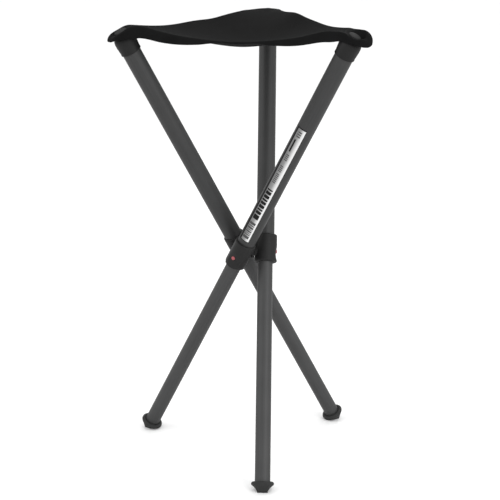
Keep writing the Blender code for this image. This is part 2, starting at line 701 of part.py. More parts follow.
def add_piece(parts, name, mesh, finish, parent):
    """A part's object. Copies of one mesh share it."""
    if not mesh.materials:
        mesh.materials.append(finish)
        mesh.shade_smooth()
        mesh.set_sharp_from_angle(angle=SHARP_ANGLE)
        mesh.name = name
    made = bpy.data.objects.new(name, mesh)
    parts.objects.link(made)
    made.parent = parent


def stand_on_origin(parts, frame):
    """Moves the stool so that the origin is on the floor under the middle of its box."""
    bpy.context.view_layer.update()
    low = Vector((math.inf,) * 3)
    high = -low
    for obj in parts.objects:
        if obj.type != "MESH":
            continue
        for vert in obj.data.vertices:
            place = obj.matrix_world @ vert.co
            low = Vector(map(min, low, place))
            high = Vector(map(max, high, place))
    frame.location = (-(low.x + high.x) / 2, -(low.y + high.y) / 2, -low.z)


def main():
    clear_scene()
    parts = collection(STOOL)
    aluminium = material("anodised_aluminium", (0.070, 0.072, 0.076), 0.38, 0.9)
    bright_aluminium = material("bright_aluminium", (0.085, 0.087, 0.090), 0.36, 0.9)
    black_plastic = material("black_plastic", (0.030, 0.030, 0.032), 0.5)
    inner_plastic = material("glide_plastic", (0.40, 0.40, 0.38), 0.45)
    grey_plastic = material("grey_plastic", (0.095, 0.095, 0.097), 0.55)
    red_plastic = material("red_plastic", (0.50, 0.045, 0.065), 0.4)
    steel = material("steel", (0.45, 0.45, 0.46), 0.3, 1.0)
    rubber = material("black_rubber", (0.042, 0.042, 0.043), 0.75)
    cloth = material("black_cloth", (0.016, 0.016, 0.018), 0.85)
    silver = material("silver_label", (0.42, 0.43, 0.45), 0.35, 0.5)

    frame = empty("stool_frame", parts)
    add_piece(parts, "hub_core", hub_core(), black_plastic, frame)
    add_piece(parts, "seat_fabric", seat_fabric(), cloth, frame)
    leg_pieces = [
        ("pivot_pin", pivot_pin(), steel),
        ("sleeve", sleeve(), black_plastic),
        ("upper_tube", upper_tube(), aluminium),
        ("seat_cap", seat_cap(), black_plastic),
        ("cap_plug", cap_plug(), grey_plastic),
        ("lower_tube", lower_tube(), bright_aluminium),
        ("glide_plug", glide_plug(), inner_plastic),
        ("snap_spring", snap_spring(), steel),
        ("foot", foot(), rubber),
        ("lock_button", lock_button(), red_plastic),
    ]
    for leg in LEG_ANGLES:
        leg_frame = empty(f"leg_{leg}_frame", parts, frame, leg_matrix(leg))
        for name, mesh, finish in leg_pieces:
            add_piece(parts, f"{name}_{leg}", mesh, finish, leg_frame)
        if leg == "a":
            add_piece(parts, "height_label", height_label(), silver, leg_frame)
    stand_on_origin(parts, frame)


main()
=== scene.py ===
"""Looks of the telescopic tripod stool: fine pieces, materials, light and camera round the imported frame.

The pieces of a leg are made once, in the leg's own frame (origin on the fold pivot, +Z up along the
leg, +X straight out from the stool's axis), and placed three times. The seat is made in the stool's frame.
"""

import json
import math

import bmesh
import bpy
import numpy as np
from mathutils import Matrix, Vector


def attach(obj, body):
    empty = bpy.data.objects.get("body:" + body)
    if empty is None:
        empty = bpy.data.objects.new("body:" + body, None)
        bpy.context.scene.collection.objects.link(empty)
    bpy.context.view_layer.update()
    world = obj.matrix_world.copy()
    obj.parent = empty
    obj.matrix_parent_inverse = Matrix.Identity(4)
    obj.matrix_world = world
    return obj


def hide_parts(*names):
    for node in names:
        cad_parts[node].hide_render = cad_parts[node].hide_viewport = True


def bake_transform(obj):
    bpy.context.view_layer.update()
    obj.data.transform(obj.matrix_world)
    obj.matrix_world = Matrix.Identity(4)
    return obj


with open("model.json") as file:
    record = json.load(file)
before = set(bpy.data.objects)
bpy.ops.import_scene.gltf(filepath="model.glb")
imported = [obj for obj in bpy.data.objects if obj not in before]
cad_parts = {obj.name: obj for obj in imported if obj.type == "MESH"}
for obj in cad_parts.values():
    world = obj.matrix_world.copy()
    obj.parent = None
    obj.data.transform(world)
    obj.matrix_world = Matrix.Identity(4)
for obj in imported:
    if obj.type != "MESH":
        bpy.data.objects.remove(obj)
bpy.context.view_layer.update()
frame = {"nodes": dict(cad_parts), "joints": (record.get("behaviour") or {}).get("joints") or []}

MM = 0.001
TINY = 1e-6
LEGS = "abc"
JOINTS = {joint["name"]: joint for joint in frame["joints"]}

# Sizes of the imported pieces, heights along a leg from its pivot
GAP = 0.3 * MM
UPPER_RADIUS = 12.3 * MM
UPPER_BORE = 11.3 * MM
UPPER_FOOT = 6.3 * MM
UPPER_TOP = 341.7 * MM
LOWER_RADIUS = 10.3 * MM
LOWER_BORE = 9.1 * MM
LOWER_TOP = 40.0 * MM
SLEEVE_RADIUS = 14.25 * MM
SLEEVE_TOP = 23.5 * MM
SLEEVE_FOOT = -15.0 * MM
SLEEVE_SHOULDER = 6.0 * MM
BUTTON_RADIUS = 2.5 * MM
BUTTON_FACE = 16.0 * MM  # out from the leg's axis
BUTTON_FOOT = 12.3 * MM
CAP_FOOT = 321.5 * MM
CAP_CROWN = 348.0 * MM
CLOTH_TOP = 350.2 * MM
PLUG_SEAT = 350.5 * MM
PLUG_FOOT = 342.3 * MM
PLUG_RADIUS = 8.0 * MM
FLANGE_RADIUS = 15.2 * MM
FLANGE_THICK = 5.6 * MM
FLANGE_LIFT = 9.4 * MM  # the flange's middle over the floor
GROOVE_DEPTH = 4.2 * MM  # the foot's groove for the tube, from the flange's top
SOLE_HALF = 6.9 * MM
SOLE_HEEL = 11.0 * MM
SOLE_TOE = 8.0 * MM
TOE_HALF = 6.75 * MM
LABEL_FOOT = 30.0 * MM
LABEL_TOP = 213.0 * MM
LABEL_HALF = 6.75 * MM
LABEL_TURN = 0.9 * MM  # the label's middle, round the tube from straight out

# Fineness of the meshes
ROUND = 72  # sides of a large round piece
MEDIUM_ROUND = 48
SMALL_ROUND = 40
SLEEVE_ROUND = 128
SHARP_ANGLE = math.radians(40.0)
PATCH_ROW = 4.0 * MM
PATCH_COLUMN = 1.35 * MM


# Where the legs stand


class Leg:
    """Where a leg stands, from its joints: its pivot, its way up, its lean in plan and its own frame."""

    def __init__(self, name):
        fold = JOINTS[f"fold_{name}"]
        outward = Vector(fold["axis"]).normalized()
        self.name = name
        self.pivot = Vector(fold["pos_m"])
        self.upward = Vector(JOINTS[f"leg_slide_{name}"]["axis"]).normalized()
        self.lean = Vector((0.0, 0.0, 1.0)).cross(outward)
        across = self.upward.cross(outward)
        self.matrix = Matrix((outward, across, self.upward)).transposed().to_4x4()
        self.matrix.translation = self.pivot


STANDS = {name: Leg(name) for name in LEGS}
AXIS = sum((leg.pivot for leg in STANDS.values()), Vector()) / len(LEGS)
AXIS.z = 0.0
PIVOT_HEIGHT = STANDS["a"].pivot.z
TILT = math.acos(STANDS["a"].upward.z)
FLANGE_MIDDLE = -(PIVOT_HEIGHT - FLANGE_LIFT) / math.cos(TILT)
FLANGE_TOP = FLANGE_MIDDLE + FLANGE_THICK / 2


# Materials


class Look:
    """A node material: a Principled shader and the nodes that feed it."""

    def __init__(self, name, **fixed):
        self.made = bpy.data.materials.new(name)
        self.made.use_nodes = True
        self.tree = self.made.node_tree
        self.shader = self.tree.nodes["Principled BSDF"]
        for socket, value in fixed.items():
            self.shader.inputs[socket.replace("_", " ")].default_value = value

    def node(self, kind, inputs=(), **settings):
        """A new node, with each input linked to a socket or set to a value."""
        made = self.tree.nodes.new("ShaderNode" + kind)
        for setting, value in settings.items():
            setattr(made, setting, value)
        for socket, value in dict(inputs).items():
            if isinstance(value, bpy.types.NodeSocket):
                self.tree.links.new(value, made.inputs[socket])
            else:
                made.inputs[socket].default_value = value
        return made

    def place(self, kind, scale=(1.0, 1.0, 1.0)):
        """Texture coordinates of a kind, stretched."""
        source = self.node("TexCoord").outputs[kind]
        return self.node("Mapping", {"Vector": source, "Scale": scale}).outputs["Vector"]

    def noise(self, place, scale, detail=3.0, roughness=0.55):
        inputs = {"Vector": place, "Scale": scale, "Detail": detail, "Roughness": roughness}
        return self.node("TexNoise", inputs).outputs["Fac"]

    def ramp(self, value, stops):
        """Colours by the value, from (value, colour) stops."""
        made = self.node("ValToRGB", {"Fac": value})
        band = made.color_ramp
        while len(band.elements) < len(stops):
            band.elements.new(0.5)
        for element, (at, colour) in zip(band.elements, stops):
            element.position = at
            element.color = (*colour, 1.0)
        return made.outputs["Color"]

    def spread(self, value, low, high, span=(0.0, 1.0)):
        """The value taken from its span to the range from low to high."""
        inputs = {"Value": value, "From Min": span[0], "From Max": span[1], "To Min": low, "To Max": high}
        return self.node("MapRange", inputs).outputs["Result"]

    def multiplied(self, first, second):
        """Two colours multiplied. The Mix node's colour sockets are its inputs 6 and 7."""
        inputs = {0: 1.0, 6: first, 7: second}
        return self.node("Mix", inputs, data_type="RGBA", blend_type="MULTIPLY").outputs[2]

    def maths(self, kind, *values):
        return self.node("Math", enumerate(values), operation=kind).outputs[0]

    def feed(self, socket, value):
        self.tree.links.new(value, self.shader.inputs[socket])

    def bump(self, height, strength, distance):
        inputs = {"Height": height, "Strength": strength, "Distance": distance}
        self.feed("Normal", self.node("Bump", inputs).outputs["Normal"])


def grey(value, warm=0.0):
    return (value * (1.0 + warm), value, value * (1.0 - warm))


def shaded(colour, share):
    return tuple(channel * share for channel in colour)


def aluminium(name, shade):
    """Satin anodised tube: long faint drawing marks, a cloudy finish and fine pits."""
    look = Look(name, Metallic=0.7)
    drawn = look.noise(look.place("Object", (900.0, 900.0, 9.0)), 1.0, 4.0, 0.6)
    cloud = look.noise(look.place("Object"), 26.0, 2.0)
    pits = look.noise(look.place("Object"), 2600.0, 2.0)
    base = look.ramp(drawn, [(0.25, grey(shade * 0.86, 0.004)), (0.75, grey(shade * 1.12, -0.012))])
    worn = look.ramp(cloud, [(0.3, grey(0.94)), (0.7, grey(1.05))])
    look.feed("Base Color", look.multiplied(base, worn))
    look.feed("Roughness", look.spread(drawn, 0.52, 0.64))
    look.bump(look.maths("ADD", drawn, look.maths("MULTIPLY", pits, 0.6)), 0.12, 0.2 * MM)
    return look.made


def plastic(name, shade, grain=1500.0, level=0.28, rough=(0.46, 0.6)):
    """Moulded plastic: a fine spark-eroded grain with a little rubbed sheen."""
    look = Look(name, Specular_IOR_Level=level)
    place = look.place("Object")
    cells = look.node("TexVoronoi", {"Vector": place, "Scale": grain}).outputs["Distance"]
    cloud = look.noise(place, 45.0, 3.0)
    look.feed("Base Color", look.ramp(cloud, [(0.3, shaded(shade, 0.82)), (0.72, shaded(shade, 1.18))]))
    look.feed("Roughness", look.spread(cloud, *rough))
    look.bump(cells, 0.22, 0.25 * MM)
    return look.made


def rubber(name, shade):
    """Black rubber, dusty where it is scuffed."""
    look = Look(name, Specular_IOR_Level=0.2)
    place = look.place("Object")
    fine = look.noise(place, 900.0, 4.0, 0.7)
    scuff = look.noise(place, 70.0, 4.0, 0.65)
    dusty = (0.78, grey(shade * 1.7, 0.03))
    look.feed("Base Color", look.ramp(scuff, [(0.35, grey(shade * 0.8)), (0.62, grey(shade)), dusty]))
    look.feed("Roughness", look.spread(scuff, 0.66, 0.85))
    look.bump(fine, 0.25, 0.3 * MM)
    return look.made


def woven(name, shade, pitch):
    """Coated plain weave. The mesh's UV map is in metres along the two threads."""
    look = Look(name, Specular_IOR_Level=0.012, Sheen_Weight=0.004, Sheen_Roughness=0.5)
    turns = 2.0 * math.pi / pitch
    split = look.node("SeparateXYZ", {"Vector": look.place("UV", (turns, turns, 1.0))})
    warp = look.maths("SINE", split.outputs["X"])
    weft = look.maths("SINE", split.outputs["Y"])
    over = look.spread(look.maths("MULTIPLY", warp, weft), 0.0, 1.0, (-1.0, 1.0))
    cloud = look.noise(look.place("Object"), 32.0, 4.0, 0.6)
    slub = look.noise(look.place("UV", (350.0, 2600.0, 1.0)), 1.0, 3.0)
    tone = look.ramp(cloud, [(0.28, grey(shade * 0.8)), (0.72, grey(shade * 1.22, -0.015))])
    thread = look.ramp(over, [(0.0, grey(0.72)), (0.7, grey(1.12))])
    look.feed("Base Color", look.multiplied(tone, thread))
    look.feed("Roughness", look.spread(cloud, 0.62, 0.8))
    look.bump(look.maths("ADD", over, look.maths("MULTIPLY", slub, 0.5)), 0.3, 0.3 * MM)
    return look.made


def steel(name):
    """Plain steel with fine marks along its length."""
    look = Look(name, Metallic=1.0)
    drawn = look.noise(look.place("Object", (700.0, 700.0, 60.0)), 1.0, 3.0)
    look.feed("Base Color", look.ramp(drawn, [(0.3, grey(0.38)), (0.7, grey(0.5))]))
    look.feed("Roughness", look.spread(drawn, 0.25, 0.4))
    look.bump(drawn, 0.1, 0.1 * MM)
    return look.made


def film(name):
    """Silver sticker film, faintly brushed along its length, with a painted reflection that makes its colour
    paler towards its right edge.
    """
    look = Look(name, Metallic=0.2, Specular_IOR_Level=0.4)
    drawn = look.noise(look.place("Object", (1800.0, 1800.0, 60.0)), 1.0, 3.0)
    across = look.node("SeparateXYZ", {"Vector": look.place("Object")}).outputs["Y"]
    share = look.spread(across, 0.0, 1.0, (LABEL_TURN - LABEL_HALF, LABEL_TURN + LABEL_HALF))
    # Painted reflection: the colour ramps from dark at the film's left edge to pale at its right, standing in
    # for the light that the round tube's curve catches there.
    sheen = look.ramp(share, [(0.05, grey(0.13)), (0.5, grey(0.25)), (0.85, grey(0.7))])
    marks = look.ramp(drawn, [(0.3, grey(0.86)), (0.72, grey(1.0))])
    look.feed("Base Color", look.multiplied(sheen, marks))
    look.feed("Roughness", look.spread(drawn, 0.3, 0.42))
    look.bump(drawn, 0.06, 0.1 * MM)
    return look.made


def ink(name, shade):
    """Printed ink with fine specks."""
    look = Look(name, Specular_IOR_Level=0.08)
    speck = look.noise(look.place("Object"), 1600.0, 3.0, 0.7)
    look.feed("Base Color", look.ramp(speck, [(0.3, grey(shade * 0.7)), (0.75, grey(shade * 1.4))]))
    look.feed("Roughness", look.spread(speck, 0.4, 0.55))
    return look.made


def painted(name):
    """The pale floor's even paint."""
    look = Look(name, Roughness=0.7, Specular_IOR_Level=0.2)
    cloud = look.noise(look.place("Object"), 3.0, 2.0)
    look.feed("Base Color", look.ramp(cloud, [(0.3, grey(0.92)), (0.7, grey(0.94))]))
    return look.made


THREAD_PITCH = 1.1 * MM
UPPER_LOOK = aluminium("dark_anodised_tube", 0.045)
LOWER_LOOK = aluminium("anodised_tube", 0.058)
BLACK_LOOK = plastic("black_plastic", grey(0.0118), level=0.18)
CAP_LOOK = plastic("cap_plastic", grey(0.0105), level=0.16)
GREY_LOOK = plastic("grey_plastic", grey(0.031), 1100.0, 0.03, (0.6, 0.75))
RED_LOOK = plastic("red_plastic", (0.3, 0.07, 0.08), 900.0, 0.3, (0.36, 0.5))
GLIDE_LOOK = plastic("glide_plastic", grey(0.4, 0.02), 700.0)
RUBBER_LOOK = rubber("black_rubber", 0.028)
CLOTH_LOOK = woven("black_cloth", 0.0074, THREAD_PITCH)
BACK_LOOK = woven("cloth_back", 0.004, THREAD_PITCH)
STEEL_LOOK = steel("plain_steel")
FILM_LOOK = film("silver_film")
INK_LOOK = ink("black_ink", 0.008)
GREY_INK_LOOK = ink("grey_ink", 0.06)


# Mesh tools


def mesh_from(name, points, faces):
    """A welded mesh with its faces turned out."""
    mesh = bpy.data.meshes.new(name)
    mesh.from_pydata([tuple(p) for p in points], [], faces)
    bm = bmesh.new()
    bm.from_mesh(mesh)
    bmesh.ops.remove_doubles(bm, verts=bm.verts, dist=TINY)
    bmesh.ops.recalc_face_normals(bm, faces=bm.faces)
    bm.to_mesh(mesh)
    bm.free()
    return mesh


def smooth(mesh):
    mesh.shade_smooth()
    mesh.set_sharp_from_angle(angle=SHARP_ANGLE)
    return mesh


def grid_faces(rows, columns, closed_rows, closed_columns):
    """Faces between rows of points, closed round on itself either way."""
    faces = []
    for i in range(rows if closed_rows else rows - 1):
        for j in range(columns if closed_columns else columns - 1):
            k = (i + 1) % rows
            n = (j + 1) % columns
            faces.append((i * columns + j, i * columns + n, k * columns + n, k * columns + j))
    return faces


def ring(radii, angles, height):
    """Points round Z at a height, each with its own radius."""
    return [(r * math.cos(a), r * math.sin(a), height) for r, a in zip(radii, angles)]


def turned(name, profile, sides=ROUND, closed=False):
    """A piece turned round Z from (radius, height) points. Closed joins the last point to the first."""
    angles = [2.0 * math.pi * j / sides for j in range(sides)]
    points = []
    for radius, height in profile:
        points += ring([radius] * sides, angles, height)
    return smooth(mesh_from(name, points, grid_faces(len(profile), sides, closed, True)))


def bend(middle, radius, start, end, steps=6):
    """Points of an arc in a profile, in degrees from outwards to up."""
    angles = [math.radians(start + (end - start) * i / steps) for i in range(steps + 1)]
    return [(middle[0] + radius * math.cos(a), middle[1] + radius * math.sin(a)) for a in angles]


def along_x(mesh):
    """A mesh made round Z, turned to lie along X."""
    mesh.transform(Matrix.Rotation(math.pi / 2, 4, "Y"))
    return mesh


def joined(name, meshes):
    bm = bmesh.new()
    for mesh in meshes:
        bm.from_mesh(mesh)
    made = bpy.data.meshes.new(name)
    bm.to_mesh(made)
    bm.free()
    return smooth(made)


def cut(mesh, cutter):
    """The mesh less the cutter."""
    obj = bpy.data.objects.new("cut", mesh)
    tool = bpy.data.objects.new("cutter", cutter)
    for each in (obj, tool):
        bpy.context.scene.collection.objects.link(each)
    step = obj.modifiers.new("cut", "BOOLEAN")
    step.operation = "DIFFERENCE"
    step.object = tool
    bpy.context.view_layer.update()
    made = bpy.data.meshes.new_from_object(obj.evaluated_get(bpy.context.evaluated_depsgraph_get()))
    for each in (obj, tool):
        bpy.data.objects.remove(each, do_unlink=True)
    return smooth(made)


def step_up(value, start=0.0, run=1.0):
    """A smooth step from 0 at the start to 1 at the end of the run."""
    share = np.clip((value - start) / run, 0.0, 1.0)
    return share * share * (3.0 - 2.0 * share)


def clamped(share):
    return min(max(share, 0.0), 1.0)


def add(name, mesh, look, body, matrix, node=None):
    """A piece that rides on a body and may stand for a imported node. Copies on other legs share its mesh."""
    obj = bpy.data.objects.new(name, mesh)
    bpy.context.scene.collection.objects.link(obj)
    obj.matrix_world = matrix
    if not mesh.materials:
        mesh.materials.append(look)
    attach(obj, body)
    if node:
        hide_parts(node)


# Tubes


def tube_mesh(name, bore, radius, foot, top):
    """A tube with its outer edges broken."""
    edge = 0.25 * MM
    profile = [(bore, top), (radius - edge, top), (radius, top - edge)]
    profile += [(radius, foot + edge), (radius - edge, foot), (bore, foot)]
    return turned(name, profile, closed=True)


# Sleeve and button

SLEEVE_SOFT = 0.5 * MM  # how softly the sleeve's forms run into each other


def sleeve_outline(angles):
    """The sleeve's radius round its axis: a circle with a swelling on its outer side."""
    middle, radius = 4.0 * MM, 12.0 * MM
    swell = middle * np.cos(angles) + np.sqrt(radius**2 - (middle * np.sin(angles)) ** 2)
    egg = SLEEVE_SOFT * np.log(np.exp(swell / SLEEVE_SOFT) + np.exp(SLEEVE_RADIUS / SLEEVE_SOFT))
    return egg - SLEEVE_SOFT * math.log(2.0) * np.exp(-(((swell - SLEEVE_RADIUS) / SLEEVE_SOFT) ** 2))


def scooped(reach, angles, height):
    """Radii at a height, cut back where the thumb scoop passes: a round face across the outer side."""
    radius, face, middle = 22.0 * MM, 14.4 * MM, -3.5 * MM
    sideways, far_out = 0.25, 100.0 * MM
    away = height - middle
    if abs(away) >= radius:
        return reach
    limit = face + radius - math.sqrt(radius**2 - away**2)
    facing = np.cos(angles)
    flat = np.where(facing > sideways, limit / np.maximum(facing, sideways), far_out)
    flat = np.minimum(flat, far_out)
    return -SLEEVE_SOFT * np.log(np.exp(-reach / SLEEVE_SOFT) + np.exp(-flat / SLEEVE_SOFT))


def button_hole():
    """The cutter for the hole that the button travels in."""
    radius, outer, inner = 2.8 * MM, 30.0 * MM, 9.0 * MM
    profile = [(0.0, outer), (radius, outer), (radius, inner), (0.0, inner)]
    return along_x(turned("hole", profile, MEDIUM_ROUND))


def hub_pad():
    """The round pad on the sleeve's inner side, which turns on the hub."""
    radius, edge, step = 10.0 * MM, 0.4 * MM, 0.35 * MM
    root, root_middle = 9.0 * MM, 11.0 * MM
    profile = [(0.0, -SLEEVE_RADIUS - step), (radius - edge, -SLEEVE_RADIUS - step)]
    profile += [(radius, -SLEEVE_RADIUS), (radius, -root), (0.0, -root_middle)]
    return along_x(turned("pad", profile, MEDIUM_ROUND))


def sleeve_mesh():
    """The sleeve: a swollen round body with rounded ends, a thumb scoop, a button hole and two bores."""
    corner, lip = 1.8 * MM, 0.5 * MM
    corner_rows, body_rows = 7, 46
    quarter = np.linspace(0.0, math.pi / 2, corner_rows)
    lower_end = SLEEVE_FOOT + corner * (1.0 - np.cos(quarter))
    body = np.linspace(SLEEVE_FOOT + corner, SLEEVE_TOP - corner, body_rows)
    upper_end = SLEEVE_TOP - corner * (1.0 - np.sin(quarter))
    angles = np.arange(SLEEVE_ROUND) * 2.0 * math.pi / SLEEVE_ROUND
    outline = sleeve_outline(angles)
    rings = []
    for height in np.concatenate([lower_end[:-1], body, upper_end[1:]]):
        end = min(height - SLEEVE_FOOT, SLEEVE_TOP - height)
        inset = corner - math.sqrt(max(corner**2 - max(corner - end, 0.0) ** 2, 0.0))
        rings.append(ring(scooped(outline - inset, angles, height), angles, height))
    upper, lower = UPPER_RADIUS + GAP, LOWER_RADIUS + GAP
    bores = [(upper + lip, SLEEVE_TOP), (upper, SLEEVE_TOP - lip), (upper, SLEEVE_SHOULDER)]
    bores += [(lower, SLEEVE_SHOULDER), (lower, SLEEVE_FOOT + lip), (lower + lip, SLEEVE_FOOT)]
    rings += [ring([radius] * SLEEVE_ROUND, angles, height) for radius, height in bores]
    points = [point for each in rings for point in each]
    solid = mesh_from("sleeve", points, grid_faces(len(rings), SLEEVE_ROUND, True, True))
    return joined("sleeve", [cut(solid, button_hole()), hub_pad()])


def button_mesh():
    """The push button, with a flange that keeps it in the sleeve."""
    edge, crown, crown_drop = 0.7 * MM, 1.3 * MM, 0.05 * MM
    flange, flange_top = 3.2 * MM, 12.9 * MM
    profile = [(0.0, BUTTON_FACE), (crown, BUTTON_FACE - crown_drop)]
    profile += bend((BUTTON_RADIUS - edge, BUTTON_FACE - edge), edge, 90.0, 0.0)
    profile += [(BUTTON_RADIUS, flange_top), (flange, flange_top)]
    profile += [(flange, BUTTON_FOOT), (0.0, BUTTON_FOOT)]
    return along_x(turned("button", profile, SMALL_ROUND))


# Cap and disc


def cap_mesh():
    """The tapered collar with a bead round its lower end, and the domed head that fills the pocket."""
    head, head_depth, dome = 14.3 * MM, 14.0 * MM, 10.0 * MM
    rim, edge, lip, lip_height = 13.5 * MM, 0.5 * MM, 0.3 * MM, 0.4 * MM
    taper, bead, bead_most = 0.1 * MM, 0.15 * MM, 0.2 * MM
    bead_top, bead_shoulder, bead_middle = CAP_FOOT + 2.3 * MM, CAP_FOOT + 1.9 * MM, CAP_FOOT + 1.2 * MM
    socket, socket_top = UPPER_RADIUS + GAP, UPPER_TOP + GAP
    profile = [(0.0, CAP_CROWN)] + bend((head - dome, CAP_CROWN - dome), dome, 90.0, 0.0, 8)
    profile += [(head, CAP_CROWN - head_depth), (rim - taper, bead_top)]
    profile += [(rim + bead, bead_shoulder), (rim + bead_most, bead_middle)]
    profile += bend((rim - edge + bead, CAP_FOOT + edge), edge, 0.0, -90.0, 4)
    profile += [(socket + lip, CAP_FOOT), (socket, CAP_FOOT + lip_height)]
    profile += [(socket, socket_top), (0.0, socket_top)]
    return turned("cap", profile)


def plug_mesh():
    """The disc on the cloth: a low dome with a rounded rim, on a stem."""
    top, edge, rim_drop, draft = PLUG_SEAT + 2.0 * MM, 0.9 * MM, 0.3 * MM, 0.1 * MM
    dome = [(0.0, 0.0), (3.0 * MM, 0.06 * MM), (5.5 * MM, 0.22 * MM)]  # radius, and drop from the top
    stem = 3.0 * MM
    profile = [(radius, top - drop) for radius, drop in dome]
    profile += bend((PLUG_RADIUS - edge, top - edge - rim_drop), edge, 75.0, -10.0, 6)
    profile += [(PLUG_RADIUS - draft, PLUG_SEAT), (stem, PLUG_SEAT), (stem, PLUG_FOOT), (0.0, PLUG_FOOT)]
    return turned("plug", profile)


# Foot


def floor_point(across, along):
    """A point on the floor in a leg's frame: across the lean, and along it from under the flange."""
    lean = along + FLANGE_MIDDLE * math.sin(TILT)
    drop = -PIVOT_HEIGHT
    across_leg = lean * math.cos(TILT) - drop * math.sin(TILT)
    return Vector((across, across_leg, lean * math.sin(TILT) + drop * math.cos(TILT)))


def foot_flange():
    """The foot's round flange, with a spigot and a ring groove for the tube."""
    rim, groove, spigot = FLANGE_THICK / 2, LOWER_RADIUS + GAP, LOWER_BORE - GAP
    spigot_top, groove_foot = FLANGE_TOP + 8.0 * MM, FLANGE_TOP - GROOVE_DEPTH
    lip, lip_foot, lip_top = 0.5 * MM, FLANGE_TOP - 0.8 * MM, FLANGE_TOP - 0.1 * MM
    profile = [(0.0, spigot_top), (spigot, spigot_top), (spigot, groove_foot), (groove, groove_foot)]
    profile += [(groove, lip_foot), (groove + lip, lip_top)]
    profile += bend((FLANGE_RADIUS - rim, FLANGE_MIDDLE), rim, 90.0, -90.0, 12)
    profile.append((0.0, FLANGE_MIDDLE - rim))
    return turned("flange", profile)


def sole_angles():
    """Angles round the sole: its round heel, then both sides and the front of its toe."""
    heel_steps, side_steps, toe_steps = 36, 9, 16
    corner = math.atan2(SOLE_TOE, TOE_HALF)
    front = math.pi - 2.0 * corner
    angles = [math.pi * j / heel_steps for j in range(heel_steps + 1)]
    angles += [math.pi + corner * j / side_steps for j in range(1, side_steps + 1)]
    angles += [math.pi + corner + front * j / toe_steps for j in range(1, toe_steps + 1)]
    angles += [2.0 * math.pi - corner + corner * j / side_steps for j in range(1, side_steps)]
    return angles


def sole_point(x, y):
    """The sole's outline in a direction across and along the lean: an oval heel, a square tapered toe."""
    if y >= 0.0:
        return SOLE_HALF * x, SOLE_HEEL * y
    reach = min(TOE_HALF / max(abs(x), TINY), SOLE_TOE / -y)
    across, along = reach * x, reach * y
    return across * (1.0 + (SOLE_HALF / TOE_HALF - 1.0) * (1.0 + along / SOLE_TOE)), along


def hoof_mesh():
    """The slanted hoof, from inside the flange down to a level sole with a broken edge."""
    neck, neck_height = 14.6 * MM, FLANGE_MIDDLE - 1.5 * MM
    edge = 0.04  # the broken edge's share of the hoof's side and of its sole
    rings = [[], [], [], []]
    for angle in sole_angles():
        x, y = math.cos(angle), math.sin(angle)
        across, along = sole_point(x, y)
        upper = Vector((neck * x, neck * y, neck_height))
        sole = floor_point(across, along)
        rings[0].append(upper)
        rings[1].append(upper.lerp(sole, 0.5))
        rings[2].append(sole.lerp(upper, edge))
        rings[3].append(floor_point(across * (1.0 - edge), along * (1.0 - edge)))
    sides = len(rings[0])
    points = [point for each in rings for point in each]
    faces = grid_faces(len(rings), sides, False, True)
    faces.append(tuple(range(sides)))
    faces.append(tuple(reversed(range(len(points) - sides, len(points)))))
    return mesh_from("hoof", points, faces)


def foot_mesh():
    """A rubber flange with a ring groove for the tube, over a hoof with a level sole."""
    return joined("foot", [foot_flange(), hoof_mesh()])


def add_legs():
    lower_foot = FLANGE_TOP - GROOVE_DEPTH + GAP
    upper = tube_mesh("upper_tube", UPPER_BORE, UPPER_RADIUS, UPPER_FOOT, UPPER_TOP)
    lower = tube_mesh("lower_tube", LOWER_BORE, LOWER_RADIUS, lower_foot, LOWER_TOP)
    shapes = [
        ("upper_tube", upper, UPPER_LOOK, "upper_aluminium", "leg"),
        ("lower_tube", lower, LOWER_LOOK, "lower_aluminium", "lower_leg"),
        ("sleeve", sleeve_mesh(), BLACK_LOOK, "black_plastic", "leg"),
        ("lock_button", button_mesh(), RED_LOOK, "red_plastic", "button"),
        ("seat_cap", cap_mesh(), CAP_LOOK, "black_plastic", "leg"),
        ("cap_plug", plug_mesh(), GREY_LOOK, "grey_plastic", "leg"),
    ]
    for leg in STANDS.values():
        for name, mesh, look, slot, body in shapes:
            node = f"{name}_{leg.name}"
            add(f"fine_{node}", mesh, look, f"{body}_{leg.name}", leg.matrix, node)
    # A foot's mesh is placed itself, because the box of a turned object would reach below the floor
    foot = foot_mesh()
    for leg in STANDS.values():
        placed = foot.copy()
        placed.transform(leg.matrix)
        node = f"foot_{leg.name}"
        add(f"fine_{node}", placed, RUBBER_LOOK, f"lower_leg_{leg.name}", Matrix(), node)


# Label

BACKING_THICK = 0.16 * MM
FILM_THICK = 0.06 * MM
INK_THICK = 0.02 * MM


def wrapped(name, patches, radius, thick):
    """Patches (foot, top, left, right) laid on the outer side of a round tube."""
    meshes = []
    for foot, top, left, right in patches:
        rows = max(2, int((top - foot) / PATCH_ROW) + 1)
        columns = int((right - left) / PATCH_COLUMN) + 2
        angles = [(left + (right - left) * j / (columns - 1)) / radius for j in range(columns)]
        layers = []
        for reach in (radius, radius + thick):
            for i in range(rows):
                layers += ring([reach] * columns, angles, foot + (top - foot) * i / (rows - 1))
        count = rows * columns
        skin = grid_faces(rows, columns, False, False)
        faces = [tuple(reversed(face)) for face in skin]
        faces += [tuple(v + count for v in face) for face in skin]
        rim = list(range(columns)) + [i * columns + columns - 1 for i in range(1, rows)]
        rim += [(rows - 1) * columns + j for j in range(columns - 2, -1, -1)]
        rim += [i * columns for i in range(rows - 2, 0, -1)]
        for a, b in zip(rim, rim[1:] + rim[:1]):
            faces.append((a, b, b + count, a + count))
        meshes.append(mesh_from(name, layers, faces))
    return joined(name, meshes)


def bars(start, lengths, gap, left, right):
    """Patches one after another up the label, from sizes in mm."""
    patches = []
    for length in lengths:
        foot, top = LABEL_FOOT + start * MM, LABEL_FOOT + (start + length) * MM
        patches.append((foot, top, left * MM, right * MM))
        start += length + gap
    return patches


